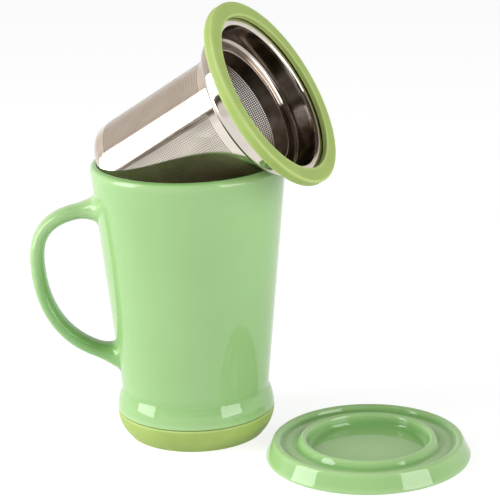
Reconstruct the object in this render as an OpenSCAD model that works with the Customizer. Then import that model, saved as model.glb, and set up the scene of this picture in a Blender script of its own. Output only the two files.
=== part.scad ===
/* [Mug] */
// Height from the table to the crest of the rim
mug_h = 129.4; // [115:0.1:145]
// Radius of the straight outer side, taken at the height of the crest
rim_r = 44.6; // [43:0.1:48]
// Angle of the outer side from upright
mug_taper = 5.6; // [4.5:0.1:6.5]
// Thickness of the glazed wall
wall = 3.2; // [2.6:0.1:4]
// Height of the inside floor above the table
mug_floor_z = 9.5; // [8:0.1:14]
// Radius where the inside floor turns up into the wall
mug_floor_fillet = 9; // [4:0.5:14]
// Largest radius of the foot band
band_r = 36.4; // [36:0.1:37.5]
// Height of the band's largest radius
band_z = 11.5; // [10:0.1:13]
// Radius of the band's bulge above that height
band_bulge = 26; // [22:0.5:30]
// Radius of the hollow curve between the band and the straight side
waist_fillet = 6; // [3:0.5:9]

/* [Base boot] */
// Height of the boot
boot_h = 11.8; // [10:0.1:13]
// Thickness of the boot's side
boot_wall = 1.8; // [1.2:0.1:2.4]
// Thickness of the boot's floor
boot_floor = 2.2; // [1.5:0.1:3]
// Radius of the boot's curved side
boot_bulge = 14.8; // [14:0.1:18]
// Radius of the boot's bottom edge
boot_edge = 0.8; // [0.4:0.1:1.2]
// Glue line between the boot's side and the mug
boot_fit = 0.1; // [0.05:0.01:0.2]
// Open seam between the boot's upper edge and the band
boot_seam = 0.3; // [0.1:0.05:0.5]

/* [Handle] */
// Height of the handle's middle line where it leaves the body at the top
handle_top_z = 108; // [104:0.5:112]
// Height of the handle's middle line where it comes back to the body
handle_low_z = 37.3; // [34:0.5:42]
// Distance from the mug's axis to the middle line of the grip
handle_reach = 70.4; // [66:0.1:76]
// Height at which the grip is furthest out
handle_crown_z = 84.3; // [78:0.5:90]
// Thickness of the handle across its curve
handle_thick = 6.7; // [5.5:0.1:8]
// Width of the handle
handle_width = 12; // [10:0.1:16]
// How much the handle grows on each side where it joins the body
handle_flare = 2.6; // [1:0.1:3.5]
// Distance from the body over which it grows
handle_flare_len = 10; // [6:0.5:14]
// How far the upper arm runs on outwards before it turns down
handle_top_run = 18; // [14:0.5:22]
// How far the upper arm sinks over that run
handle_top_sink = 0.8; // [0:0.1:3]
// How far the grip runs on up from its furthest point before it turns in
handle_crown_rise = 19; // [14:0.1:22]
// How far the grip runs on down from its furthest point before it turns in
handle_crown_drop = 20.7; // [16:0.1:24]
// How far the lower arm runs outwards before it turns up
handle_low_run = 30; // [24:0.5:34]
// How far the lower arm climbs over that run
handle_low_rise = 3.4; // [0:0.1:6]

/* [Infuser] */
// Thickness of the steel sheet
sheet = 0.5; // [0.4:0.05:0.7]
// Height from the infuser's floor to the underside of the collar's step
basket_h = 69.6; // [67.5:0.1:78]
// Outer radius of the basket at the collar's step
basket_top_r = 28.3; // [27:0.1:29.5]
// Outer radius of the basket at the floor
basket_low_r = 26.2; // [25:0.1:27]
// Radius of the edge round the floor
basket_edge = 4; // [2.5:0.5:6]
// Height of the floor cup, where the sleeve is welded on
cup_h = 6.5; // [6:0.1:9]
// Width of the rolled lip by which the sleeve hangs in the collar
lip_w = 1.6; // [1:0.1:2.2]
// Plain margin of the sleeve under the collar
plain_top = 5.5; // [4:0.5:9]
// Distance between neighbouring holes
hole_pitch = 5.6; // [5:0.1:8]
// Diameter of the holes
hole_d = 2.4; // [1.6:0.1:3]
// Height of the collar, from the underside of its step to the top of its flange
collar_h = 12.7; // [11:0.1:16]
// Outer radius of the collar's upright wall
collar_r = 35.1; // [34:0.1:36]
// Outer radius where the wall turns into the step
collar_fillet = 3; // [2:0.1:3.5]
// Radius of the bead under the flange
bead_r = 1.3; // [0.8:0.1:1.6]
// Clearance between steel parts that slip into each other
steel_fit = 0.1; // [0.05:0.01:0.2]

/* [Infuser ring] */
// Outer radius of the ring
ring_r = 44.9; // [44.5:0.1:48]
// Radius of the ring's opening
ring_mouth_r = 37.8; // [37:0.1:38.5]
// Thickness of the ring
ring_t = 5.2; // [4.6:0.1:6]
// Thickness of the ring's face over the flange
ring_face_t = 2.4; // [1.8:0.1:2.6]
// Radius of the ring's outer edges
ring_edge = 1.7; // [0.8:0.1:1.7]
// Radius of the edges round the ring's mouth
ring_mouth_edge = 0.6; // [0.3:0.1:0.9]
// Width of the flange held inside the ring
flange_w = 6; // [4:0.1:6.5]
// Clearance above the flange in its slot
slot_fit = 0.5; // [0.2:0.1:0.6]

/* [Lid] */
// Height of the lid's outer crest
lid_h = 8.6; // [8.3:0.1:10]
// Angle of the lid's side from the table
lid_side_a = 64; // [58:1:68]
// Radius of the lid's lower edge
lid_edge = 1; // [0.6:0.1:1.6]
// Radius of the outer crest
lid_crest = 2; // [1.4:0.1:2.4]
// Height of the trough between the crests
trough_z = 6.2; // [5.4:0.1:6.6]
// Radius where the trough turns up into the outer crest
trough_edge = 1.5; // [0.8:0.1:1.8]
// Height of the inner crest, which is the plug that enters the infuser
plug_h = 9.2; // [8.8:0.1:10]
// Radius of the inner crest
plug_crest = 1.6; // [1.2:0.1:2]
// Slope of the plug's outer side from the table
plug_side_a = 50; // [46:1:56]
// Clearance round the basket's floor when it stands in the well
well_fit = 1.4; // [0.8:0.1:2]
// Width of the trough between the plug and the outer crest
trough_w = 6.3; // [4:0.1:8]
// Height of the well's floor
well_z = 3.4; // [2.8:0.1:4.4]
// Radius where the well's floor turns up into its wall
well_edge = 2.6; // [1.5:0.1:3]
// Depth of the hollow under the lid
under_hollow = 0.8; // [0.4:0.1:1.2]
// Width of the ring on which the lid stands
under_ring_w = 4; // [3:0.1:6]

/* [Layout] */
// Direction in which the infuser leans
lean_turn = -20.7; // [-40:0.1:20]
// Gap left where the infuser rests on the mug
rest_gap = 0.3; // [0.2:0.05:0.4]
// Length of sleeve that shows between the mug's rim and the collar's step
step_gap = 1.2; // [0:0.1:2]
// Direction in which the lid lies
lid_turn = -27.4; // [-50:0.1:20]
// Gap between the foot band and the lid
lid_gap = 5.1; // [4:0.1:30]

/* [Hidden] */
$fn = 96;
arc_steps = 10;      // segments in a curve of an outline
corner_steps = 4;    // segments in a small corner
handle_rings = 22;   // rings in each half of the handle
handle_sides = 20;   // points round the handle
handle_power = 2.4;  // 2 is an ellipse, higher is squarer
lean_range = [50, 85];  // angles between which the leaning angle is searched for
lean_steps = 18;     // halvings in that search
edge_step = 3;       // degrees between the tested points of the floor's edge
inside = 4;          // how far the handle's ends run into the wall before they are cut

// An arc about a centre, from angle a0 to angle a1
function arc(centre, r, a0, a1, n = arc_steps) =
    [for (i = [0 : n]) let (a = a0 + (a1 - a0) * i / n) centre + r * [cos(a), sin(a)]];
function unit(v) = v / norm(v);

// The corner b of an outline, between its neighbours a and c, rounded to radius r
function rounded(a, b, c, r) =
    let (
        u = unit(a - b),
        v = unit(c - b),
        half = acos(u * v) / 2,
        centre = b + unit(u + v) * r / sin(half),
        start = b + u * r / tan(half) - centre,
        a0 = atan2(start[1], start[0]),
        turn = (180 - 2 * half) * (cross(u, v) > 0 ? -1 : 1)
    )
    r == 0 ? [b] : arc(centre, r, a0, a0 + turn);

// An outline from corners [x, z, rounding]
function outline(corners) =
    let (
        n = len(corners),
        at = function (i) [corners[(i + n) % n][0], corners[(i + n) % n][1]]
    )
    [for (i = [0 : n - 1]) each rounded(at(i - 1), at(i), at(i + 1), corners[i][2])];

// Mug
wall_normal = [cos(mug_taper), -sin(mug_taper)];
function body_r(z) = rim_r - (mug_h - z) * tan(mug_taper);
function cavity_r(z) = body_r(z) - wall / cos(mug_taper);
rim_round = wall / 2;
rim_c = [body_r(mug_h - rim_round) - rim_round / cos(mug_taper), mug_h - rim_round];
band_c = [band_r - band_bulge, band_z];
boot_c = [band_r - boot_bulge, band_z];
spigot_bulge = boot_bulge - boot_wall - boot_fit;
// The waist's curve touches the band's bulge below and the straight side above
waist_on_side = [body_r(band_z), band_z] + waist_fillet * wall_normal - band_c;
waist_along = waist_on_side * [sin(mug_taper), cos(mug_taper)];
waist_reach = sqrt(pow(waist_along, 2) - waist_on_side * waist_on_side + pow(band_bulge + waist_fillet, 2));
waist_c = band_c + waist_on_side + (waist_reach - waist_along) * [sin(mug_taper), cos(mug_taper)];
waist_a = atan2(waist_c[1] - band_c[1], waist_c[0] - band_c[0]);
mug_floor_c = [cavity_r(mug_floor_z + mug_floor_fillet) - mug_floor_fillet / cos(mug_taper),
    mug_floor_z + mug_floor_fillet];

// Handle
function bezier(p, t) =
    pow(1 - t, 3) * p[0] + 3 * pow(1 - t, 2) * t * p[1] + 3 * (1 - t) * t * t * p[2] + pow(t, 3) * p[3];
function bezier_way(p, t) =
    pow(1 - t, 2) * (p[1] - p[0]) + 2 * (1 - t) * t * (p[2] - p[1]) + t * t * (p[3] - p[2]);
handle_crown = [handle_reach, handle_crown_z];
handle_top = [body_r(handle_top_z) - inside, handle_top_z];
handle_low = [body_r(handle_low_z) - inside, handle_low_z];
handle_upper = [handle_top, handle_top + [handle_top_run, -handle_top_sink],
    handle_crown + [0, handle_crown_rise], handle_crown];
handle_lower = [handle_crown, handle_crown - [0, handle_crown_drop],
    handle_low + [handle_low_run, handle_low_rise], handle_low];
function handle_growth(p) =
    let (away = (p[0] - body_r(p[1])) * cos(mug_taper))
    handle_flare * pow(max(0, 1 - max(away, 0) / handle_flare_len), 2);
function superellipse(a, b, t) =
    [a * sign(cos(t)) * pow(abs(cos(t)), 2 / handle_power),
     b * sign(sin(t)) * pow(abs(sin(t)), 2 / handle_power)];
function handle_ring(curve, t) =
    let (
        p = bezier(curve, t),
        way = unit(bezier_way(curve, t)),
        grow = handle_growth(p)
    )
    [for (j = [0 : handle_sides - 1])
        let (s = superellipse(handle_thick / 2 + grow, handle_width / 2 + grow, 360 * j / handle_sides))
        [-p[0] + way[1] * s[0], s[1], p[1] + way[0] * s[0]]];

// Infuser, in its own frame: its floor stands at z = 0 and its mouth faces +Z
basket_slope = (basket_top_r - basket_low_r) / basket_h;
function sleeve_r(z) = basket_low_r + basket_slope * z;
step_z = basket_h + sheet;                 // upper side of the collar's step
flange_z = basket_h + collar_h;            // upper side of the flange
bead_c = [collar_r + bead_r, flange_z - sheet - bead_r];
flange_r = collar_r + bead_r + flange_w;
ring_top_z = flange_z + slot_fit + ring_face_t;
ring_low_z = ring_top_z - ring_t;
slot_low_z = flange_z - sheet;
hole_rows = floor((basket_h - plain_top - cup_h - hole_d) / hole_pitch) + 1;
hole_columns = round(2 * PI * sleeve_r(basket_h / 2) / hole_pitch);
floor_cells = ceil(basket_low_r / hole_pitch);
floor_hole_reach = basket_low_r - basket_edge - hole_d;

// Leaning infuser. In the plane of the lean, the crest of the rim is a circle about rim_c.
// The sleeve rests on it under the collar's step, and the edge of the floor rests on it opposite.
crest_gap = rim_round + rest_gap;
crest_local_z = basket_h - crest_gap - step_gap;
crest_local_r = sleeve_r(crest_local_z) + crest_gap * norm([1, basket_slope]);
function lean_foot(a) = rim_c - crest_local_z * [sin(a), cos(a)] - crest_local_r * [cos(a), -sin(a)];
function edge_distance(a, t) =
    let (
        ring = basket_low_r - basket_edge,
        p = lean_foot(a) + basket_edge * [sin(a), cos(a)] + ring * cos(t) * [cos(a), -sin(a)]
    )
    norm([norm([p[0], ring * sin(t)]) - rim_c[0], p[1] - rim_c[1]]);
function edge_gap(a) = min([for (t = [90 : edge_step : 180]) edge_distance(a, t)]) - basket_edge - rim_round;
function lean_search(low, high, n) =
    let (mid = (low + high) / 2)
    n == 0 ? high
        : edge_gap(mid) > rest_gap ? lean_search(low, mid, n - 1) : lean_search(mid, high, n - 1);
lean = lean_search(lean_range[0], lean_range[1], lean_steps);

// Lid, worked out from the well that takes the basket's floor, outwards to its edge
well_r = basket_low_r + well_fit;
plug_corner_z = plug_h - plug_crest + plug_crest / tan((90 - plug_side_a) / 2);
plug_foot_r = well_r + (plug_corner_z - trough_z) / tan(plug_side_a);
trough_r = plug_foot_r + trough_w;
lid_apex_z = lid_h - lid_crest + lid_crest / cos(lid_side_a);
lid_apex_r = trough_r + (lid_apex_z - trough_z) / tan(lid_side_a);
lid_foot_corner = lid_apex_r + lid_apex_z / tan(lid_side_a);
lid_r = lid_foot_corner + lid_edge - lid_edge / tan(lid_side_a / 2);
under_r = lid_r - lid_edge - under_ring_w;
lid_at = (band_r + lid_gap + lid_r) * [cos(lid_turn), sin(lid_turn)];

module leaning() {
    foot = lean_foot(lean);
    rotate([0, 0, lean_turn])
        translate([foot[0], 0, foot[1]])
            rotate([0, lean, 0])
                children();
}

// Glazed body: spigot for the boot, foot band, waist, straight side, round rim and cavity
module mug_body() {
    spigot_low = asin((boot_floor - band_z) / spigot_bulge);
    spigot_high = asin((boot_h + boot_seam - band_z) / spigot_bulge);
    band_low = asin((boot_h + boot_seam - band_z) / band_bulge);
    color([0.64, 0.79, 0.55])
        rotate_extrude()
            polygon(concat(
                [[0, boot_floor]],
                arc(boot_c, spigot_bulge, spigot_low, spigot_high),
                arc(band_c, band_bulge, band_low, waist_a),
                arc(waist_c, waist_fillet, waist_a + 180, 180 - mug_taper),
                arc(rim_c, rim_round, -mug_taper, 180 - mug_taper),
                arc(mug_floor_c, mug_floor_fillet, -mug_taper, -90),
                [[0, mug_floor_z]]
            ));
}

// Handle: one section carried along two curves that meet at the crown, cut to the body's side
module mug_handle() {
    rings = concat(
        [for (i = [0 : handle_rings - 1]) handle_ring(handle_upper, i / handle_rings)],
        [for (i = [0 : handle_rings]) handle_ring(handle_lower, i / handle_rings)]
    );
    last = len(rings) - 1;
    n = handle_sides;
    cut_z = [handle_low_z - handle_thick * 2, handle_top_z + handle_thick * 2];
    color([0.60, 0.77, 0.50])
        difference() {
            polyhedron(
                points = [for (ring = rings) each ring],
                faces = concat(
                    [[for (j = [0 : n - 1]) j]],
                    [for (i = [0 : last - 1]) for (j = [0 : n - 1])
                        let (k = (j + 1) % n)
                        [i * n + k, i * n + j, (i + 1) * n + j, (i + 1) * n + k]],
                    [[for (j = [0 : n - 1]) last * n + n - 1 - j]]
                )
            );
            translate([0, 0, cut_z[0]])
                cylinder(h = cut_z[1] - cut_z[0], r1 = body_r(cut_z[0]), r2 = body_r(cut_z[1]));
        }
}

// Soft boot under the foot: its floor carries the mug and its side follows the band
module base_boot() {
    low_a = asin((boot_edge - band_z) / boot_bulge);
    high_a = asin((boot_h - band_z) / boot_bulge);
    bore = boot_bulge - boot_wall;
    low_edge = boot_c + boot_bulge * [cos(low_a), sin(low_a)];
    color([0.60, 0.70, 0.38])
        rotate_extrude()
            polygon(concat(
                [[0, 0]],
                arc(low_edge - [boot_edge, 0], boot_edge, -90, 0, corner_steps),
                arc(boot_c, boot_bulge, low_a, high_a),
                arc(boot_c, bore, asin((boot_h - band_z) / bore), asin((boot_floor - band_z) / bore)),
                [[0, boot_floor]]
            ));
}

// Soft ring round the mouth, with the slot that grips the collar's flange
module infuser_ring() {
    slot_r = flange_r + slot_fit;
    seat_r = bead_c[0] + steel_fit;
    color([0.63, 0.74, 0.42])
        leaning()
            rotate_extrude()
                polygon(outline([
                    [seat_r, ring_low_z, ring_mouth_edge],
                    [ring_r, ring_low_z, ring_edge],
                    [ring_r, ring_top_z, ring_edge],
                    [ring_mouth_r, ring_top_z, ring_mouth_edge],
                    [ring_mouth_r, ring_top_z - ring_face_t, 0],
                    [slot_r, ring_top_z - ring_face_t, 0],
                    [slot_r, slot_low_z, 0],
                    [seat_r, slot_low_z, 0]
                ]));
}

// Drawn collar: flange, bead, upright wall and the step that carries the sleeve
module infuser_collar() {
    neck_r = sleeve_r(basket_h) + steel_fit;
    fillet_c = [collar_r - collar_fillet, basket_h + collar_fillet];
    color([0.75, 0.74, 0.72])
        leaning()
            rotate_extrude()
                polygon(concat(
                    [[neck_r, basket_h]],
                    arc(fillet_c, collar_fillet, -90, 0),
                    arc(bead_c, bead_r, 180, 90),
                    [[flange_r, slot_low_z], [flange_r, flange_z]],
                    arc(bead_c, bead_r + sheet, 90, 180),
                    arc(fillet_c, collar_fillet - sheet, 0, -90),
                    [[neck_r, step_z]]
                ));
}

// Tapered sleeve of perforated sheet, hung in the collar by its rolled lip
module infuser_sleeve() {
    inner_top = sleeve_r(basket_h) - sheet;
    color([0.73, 0.67, 0.61])
        leaning()
            difference() {
                rotate_extrude()
                    polygon(concat(
                        [[sleeve_r(cup_h), cup_h],
                         [sleeve_r(basket_h), basket_h],
                         [sleeve_r(basket_h), step_z],
                         [sleeve_r(basket_h) + lip_w, step_z],
                         [sleeve_r(basket_h) + lip_w, step_z + sheet]],
                        arc([inner_top + sheet, step_z], sheet, 90, 180, corner_steps),
                        [[inner_top, basket_h],
                         [sleeve_r(cup_h) - sheet, cup_h]]
                    ));
                for (row = [0 : hole_rows - 1])
                    let (z = cup_h + hole_d + row * hole_pitch)
                        for (column = [0 : hole_columns - 1])
                            rotate([0, 0, 360 * (column + (row % 2) / 2) / hole_columns])
                                translate([sleeve_r(z) - sheet / 2, 0, z])
                                    rotate([0, 90, 0])
                                        cylinder(h = 4 * sheet, d = hole_d, center = true);
            }
}

// Perforated floor cup, butt-welded to the sleeve
module infuser_floor() {
    edge_c = [basket_low_r - basket_edge, basket_edge];
    color([0.70, 0.66, 0.62])
        leaning()
            difference() {
                rotate_extrude()
                    polygon(concat(
                        [[0, 0]],
                        arc(edge_c, basket_edge, -90, 0),
                        [[sleeve_r(cup_h), cup_h],
                         [sleeve_r(cup_h) - sheet, cup_h]],
                        arc(edge_c, basket_edge - sheet, 0, -90),
                        [[0, sheet]]
                    ));
                for (i = [-floor_cells : floor_cells])
                    for (j = [-floor_cells : floor_cells])
                        if (norm([i, j]) * hole_pitch < floor_hole_reach)
                            translate([i * hole_pitch, j * hole_pitch, sheet / 2])
                                cylinder(h = 4 * sheet, d = hole_d, center = true);
            }
}

// Lid, lying with its plug up: sloping side, outer crest, trough, plug and well
module lid() {
    color([0.65, 0.79, 0.54])
        translate([lid_at[0], lid_at[1], 0])
            rotate_extrude()
                polygon(outline([
                    [0, under_hollow, 0],
                    [under_r, under_hollow, under_hollow / 2],
                    [under_r + under_hollow, 0, under_hollow / 2],
                    [lid_foot_corner, 0, lid_edge],
                    [lid_apex_r, lid_apex_z, lid_crest],
                    [trough_r, trough_z, trough_edge],
                    [plug_foot_r, trough_z, plug_crest],
                    [well_r, plug_corner_z, plug_crest],
                    [well_r, well_z, well_edge],
                    [0, well_z, 0]
                ]));
}

mug_body();
mug_handle();
base_boot();
infuser_ring();
infuser_collar();
infuser_sleeve();
infuser_floor();
lid();
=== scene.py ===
import math

import bpy
import numpy as np
from mathutils import Matrix


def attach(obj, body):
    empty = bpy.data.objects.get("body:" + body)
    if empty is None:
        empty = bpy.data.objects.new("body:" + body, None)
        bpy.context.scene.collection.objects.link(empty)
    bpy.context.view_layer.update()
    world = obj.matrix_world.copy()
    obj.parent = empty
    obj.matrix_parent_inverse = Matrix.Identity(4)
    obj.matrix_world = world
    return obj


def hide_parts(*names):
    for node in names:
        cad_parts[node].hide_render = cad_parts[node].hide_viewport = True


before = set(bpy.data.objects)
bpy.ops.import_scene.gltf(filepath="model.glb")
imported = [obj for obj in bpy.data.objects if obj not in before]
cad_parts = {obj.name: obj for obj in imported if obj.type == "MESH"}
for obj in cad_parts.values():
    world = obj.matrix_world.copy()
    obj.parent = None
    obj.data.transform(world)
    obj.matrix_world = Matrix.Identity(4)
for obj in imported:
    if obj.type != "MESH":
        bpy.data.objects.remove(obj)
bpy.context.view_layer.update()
print("frame loaded:", sorted(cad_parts))

mm = 0.001        # sizes are in millimetres unless a note says metres, and meshes are made in metres
turnSteps = 256   # points round every turned piece
tiny = 1e-9       # anything below this counts as nothing


# the unit vector at an angle in degrees: (cos, sin)
def direction(angle):
    a = math.radians(angle)
    return np.array([math.cos(a), math.sin(a)])


# points on an arc: centre plus radius times (cos, sin) of an even run of angles
def arc(centre, radius, startAngle, endAngle, count):
    a = np.radians(np.linspace(startAngle, endAngle, count))
    return np.column_stack([centre[0] + radius * np.cos(a), centre[1] + radius * np.sin(a)])


# corners (r, z, rounding) as a closed outline: each corner is replaced by the arc
# that touches both of its sides
def roundedOutline(corners, count):
    parts = []
    for i, (r, z, rounding) in enumerate(corners):
        corner = np.array([r, z], float)
        if rounding == 0:
            parts.append(corner[None])
            continue
        before = np.array(corners[i - 1][:2], float) - corner
        after = np.array(corners[(i + 1) % len(corners)][:2], float) - corner
        before /= np.linalg.norm(before)
        after /= np.linalg.norm(after)
        half = math.acos(float(before @ after)) / 2
        middle = (before + after) / np.linalg.norm(before + after)
        centre = corner + middle * rounding / math.sin(half)
        start = corner + before * rounding / math.tan(half) - centre
        startAngle = math.degrees(math.atan2(start[1], start[0]))
        left = before[0] * after[1] - before[1] * after[0] > 0
        turn = (180 - 2 * math.degrees(half)) * (-1 if left else 1)
        parts.append(arc(centre, rounding, startAngle, startAngle + turn, count))
    return np.vstack(parts)


# extra points so that no step of a closed outline is longer than the given length
def fineOutline(points, longest):
    parts = []
    for a, b in zip(points, np.roll(points, -1, axis=0)):
        n = max(1, math.ceil(np.linalg.norm(b - a) / longest))
        parts.append(a + (b - a) * (np.arange(n) / n)[:, None])
    return np.vstack(parts)


# the same for an outline that starts and ends on the axis: its two ends stay as they are,
# and the extra points on the way back from its end to its start are left out
def fineAxisOutline(points, longest):
    inner = fineOutline(points[1:-1], longest)
    back = math.ceil(np.linalg.norm(points[-2] - points[1]) / longest)
    return np.vstack([points[:1], inner[:len(inner) - back + 1], points[-1:]])


# bend of a closed outline at each point, from -1 (hollow) to 1 (edge): the turns near it,
# each weighted by exp(-(distance / reach)^2)
def outlineBend(points, reach):
    way = np.roll(points, -1, axis=0) - points
    length = np.maximum(np.linalg.norm(way, axis=1), tiny)
    angle = np.unwrap(np.arctan2(way[:, 1], way[:, 0]))
    turn = (angle - np.roll(angle, 1) + np.pi) % (2 * np.pi) - np.pi
    s = np.concatenate([[0], np.cumsum(length)[:-1]])
    near = np.exp(-(((s[:, None] - s[None, :]) / reach) ** 2))
    return np.clip((near * turn[None, :]).sum(1), -1, 1)


# points of an outline (r, z) turned to each of the angles a: (r cos a, r sin a, z)
def turned(outline, angles):
    r, z = outline[:, :1], outline[:, 1:]
    return np.stack([r * np.cos(angles), r * np.sin(angles), z + 0 * angles], -1).reshape(-1, 3)


# four-cornered faces of a grid whose columns run all the way round; its rows do too if it is closed
def gridFaces(rows, columns, closed):
    i = np.arange(rows if closed else rows - 1)[:, None]
    j = np.arange(columns)[None, :]
    up, side = (i + 1) % rows, (j + 1) % columns
    corners = [i * columns + j, i * columns + side, up * columns + side, up * columns + j]
    return np.stack(corners, -1).reshape(-1, 4)


# the edges that only one face has, each in the direction of its face
def openEdges(faceGroups, pointCount):
    edges = np.vstack([np.stack([g, np.roll(g, -1, axis=1)], -1).reshape(-1, 2) for g in faceGroups])
    there = edges[:, 0] * pointCount + edges[:, 1]
    back = edges[:, 1] * pointCount + edges[:, 0]
    return edges[~np.isin(there, back)]


# makes one mesh object from points (mm) and groups of faces that have 3, 4 or 5 corners each
def meshObject(name, points, faceGroups, sharpAngle=40):
    mesh = bpy.data.meshes.new(name)
    corners = np.concatenate([g.ravel() for g in faceGroups]).astype(np.int32)
    sizes = np.concatenate([np.full(len(g), g.shape[1]) for g in faceGroups])
    starts = np.concatenate([[0], np.cumsum(sizes)[:-1]]).astype(np.int32)
    mesh.vertices.add(len(points))
    mesh.vertices.foreach_set("co", (np.asarray(points) * mm).astype(np.float32).ravel())
    mesh.loops.add(len(corners))
    mesh.loops.foreach_set("vertex_index", corners)
    mesh.polygons.add(len(sizes))
    mesh.polygons.foreach_set("loop_start", starts)
    mesh.polygons.foreach_set("use_smooth", np.ones(len(sizes), bool))
    mesh.update(calc_edges=True)
    if mesh.validate():
        print("  note:", name, "had faces that were mended")
    mesh.set_sharp_from_angle(angle=math.radians(sharpAngle))
    piece = bpy.data.objects.new(name, mesh)
    bpy.context.scene.collection.objects.link(piece)
    print("  made", name, len(points), "points")
    return piece


# a float value for each point or face, which materials read by name
def setAttribute(piece, name, values, domain="POINT"):
    layer = piece.data.attributes.new(name, "FLOAT", domain)
    layer.data.foreach_set("value", np.asarray(values, np.float32))


# an outline turned about Z: point = (r cos a, r sin a, z); an end on the axis is one point.
# It gets the attribute "bend" from its outline, and "inside" where values for it are given
def revolved(name, outline, bendReach, place=None, inside=None):
    bend = outlineBend(outline, bendReach)
    closed = outline[0, 0] > tiny
    body = outline if closed else outline[1:-1]
    rings, n = len(body), turnSteps
    points = turned(body, np.linspace(0, 2 * np.pi, n, endpoint=False))
    values = np.repeat(bend if closed else bend[1:-1], n)
    groups = [gridFaces(rings, n, closed)]
    if not closed:
        k, kk = np.arange(n), (np.arange(n) + 1) % n
        last, ends = (rings - 1) * n, rings * n
        points = np.vstack([points, [[0, 0, outline[0, 1]], [0, 0, outline[-1, 1]]]])
        values = np.concatenate([values, [0, 0]])
        groups.append(np.column_stack([0 * k + ends, kk, k]))
        groups.append(np.column_stack([last + k, last + kk, 0 * k + ends + 1]))
    if place is not None:
        points = place(points)
    piece = meshObject(name, points, groups)
    setAttribute(piece, "bend", values)
    if inside is not None:
        setAttribute(piece, "inside", np.repeat(inside, n))
    return piece


# closes an open sheet: the second side is its copy with the faces turned round, and every
# edge that has one face gets a wall. "inside" marks the second side and "wall" the walls
def thickSheet(name, outer, inner, faceGroups):
    count = len(outer)
    single = openEdges(faceGroups, count)
    walls = np.column_stack([single[:, 1], single[:, 0], single[:, 0] + count, single[:, 1] + count])
    groups = list(faceGroups) + [g[:, ::-1] + count for g in faceGroups] + [walls]
    points = np.vstack([outer, inner])
    used = np.zeros(len(points), bool)
    for g in groups:
        used[g.ravel()] = True
    index = np.cumsum(used) - 1
    piece = meshObject(name, points[used], [index[g] for g in groups])
    setAttribute(piece, "inside", np.repeat([0.0, 1.0], count)[used])
    faceCount = len(piece.data.polygons)
    setAttribute(piece, "wall", np.arange(faceCount) >= faceCount - len(walls), "FACE")
    return piece


# adds nodes to a tree and joins them. In add, a word that starts with in_ is an input, by its
# name or its number, and every other word is a setting of the node
class Nodes:
    def __init__(self, tree):
        self.tree = tree

    def feed(self, socket, value):
        if isinstance(value, bpy.types.NodeSocket):
            self.tree.links.new(value, socket)
        else:
            socket.default_value = value

    def add(self, kind, **settings):
        node = self.tree.nodes.new(kind)
        for key, value in settings.items():
            if key.startswith("in_"):
                label = key[3:]
                self.feed(node.inputs[int(label) if label.isdigit() else label.replace("_", " ")], value)
            else:
                setattr(node, key, value)
        return node

    def group(self, group, **values):
        node = self.add("ShaderNodeGroup", node_tree=group)
        for key, value in values.items():
            self.feed(node.inputs[key.replace("_", " ")], value)
        return node.outputs

    def attribute(self, name):
        return self.add("ShaderNodeAttribute", attribute_name=name).outputs["Fac"]

    def math(self, operation, a, b=0.0):
        return self.add("ShaderNodeMath", operation=operation, in_0=a, in_1=b).outputs[0]

    def times(self, a, b):
        return self.math("MULTIPLY", a, b)

    def plus(self, a, b):
        return self.math("ADD", a, b)

    def larger(self, a, b):
        return self.math("MAXIMUM", a, b)

    def noise(self, vector, scale, detail=2.0, roughness=0.5):
        return self.add("ShaderNodeTexNoise", in_Vector=vector, in_Scale=scale, in_Detail=detail,
                        in_Roughness=roughness).outputs[0]

    def mix(self, factor, a, b, blend="MIX"):
        return self.add("ShaderNodeMix", data_type="RGBA", blend_type=blend,
                        in_0=factor, in_6=a, in_7=b).outputs[2]

    def ramp(self, value, low, high, outLow=0.0, outHigh=1.0):
        return self.add("ShaderNodeMapRange", in_0=value, in_1=low, in_2=high,
                        in_3=outLow, in_4=outHigh).outputs[0]


def newGroup(name, inputs, outputs):
    group = bpy.data.node_groups.new(name, "ShaderNodeTree")
    for label, kind, default in inputs:
        socket = group.interface.new_socket(name=label, in_out="INPUT", socket_type="NodeSocket" + kind)
        if default is not None:
            socket.default_value = default
    for label, kind in outputs:
        group.interface.new_socket(name=label, in_out="OUTPUT", socket_type="NodeSocket" + kind)
    nodes = Nodes(group)
    return group, nodes, nodes.add("NodeGroupInput").outputs, nodes.add("NodeGroupOutput").inputs


noiseMiddle = (0.3, 0.7)   # the part of a noise's range in which most of its values lie


# soft cloudy change between two colours, with fine darker specks
def cloudGroup():
    speckStart, speckFull = 0.66, 0.78   # only the highest values of the noise are specks
    group, n, given, out = newGroup(
        "cloudAndSpecks",
        [("Vector", "Vector", None),
         ("Light", "Color", (1, 1, 1, 1)),
         ("Dark", "Color", (0.5, 0.5, 0.5, 1)),
         ("Cloud Scale", "Float", 40.0),
         ("Speck Scale", "Float", 900.0),
         ("Specks", "Float", 0.1)],
        [("Color", "Color"), ("Mask", "Float")],
    )
    cloud = n.noise(given["Vector"], given["Cloud Scale"], detail=3.0)
    soft = n.ramp(cloud, *noiseMiddle)
    speck = n.ramp(n.noise(given["Vector"], given["Speck Scale"], detail=1.0), speckStart, speckFull)
    base = n.mix(soft, given["Dark"], given["Light"])
    n.feed(out["Color"], n.mix(n.times(speck, given["Specks"]), base, given["Dark"], "MULTIPLY"))
    n.feed(out["Mask"], soft)
    return group


# fine even grain for a Bump node
def grainGroup():
    coarseShare = 0.12   # scale of the coarse noise against the fine one
    group, n, given, out = newGroup(
        "fineGrain",
        [("Vector", "Vector", None), ("Scale", "Float", 2000.0), ("Coarse", "Float", 0.3)],
        [("Height", "Float")],
    )
    fine = n.noise(given["Vector"], given["Scale"], detail=2.0, roughness=0.6)
    coarse = n.noise(given["Vector"], n.times(given["Scale"], coarseShare), detail=2.0)
    n.feed(out["Height"], n.plus(fine, n.times(coarse, given["Coarse"])))
    return group


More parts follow.
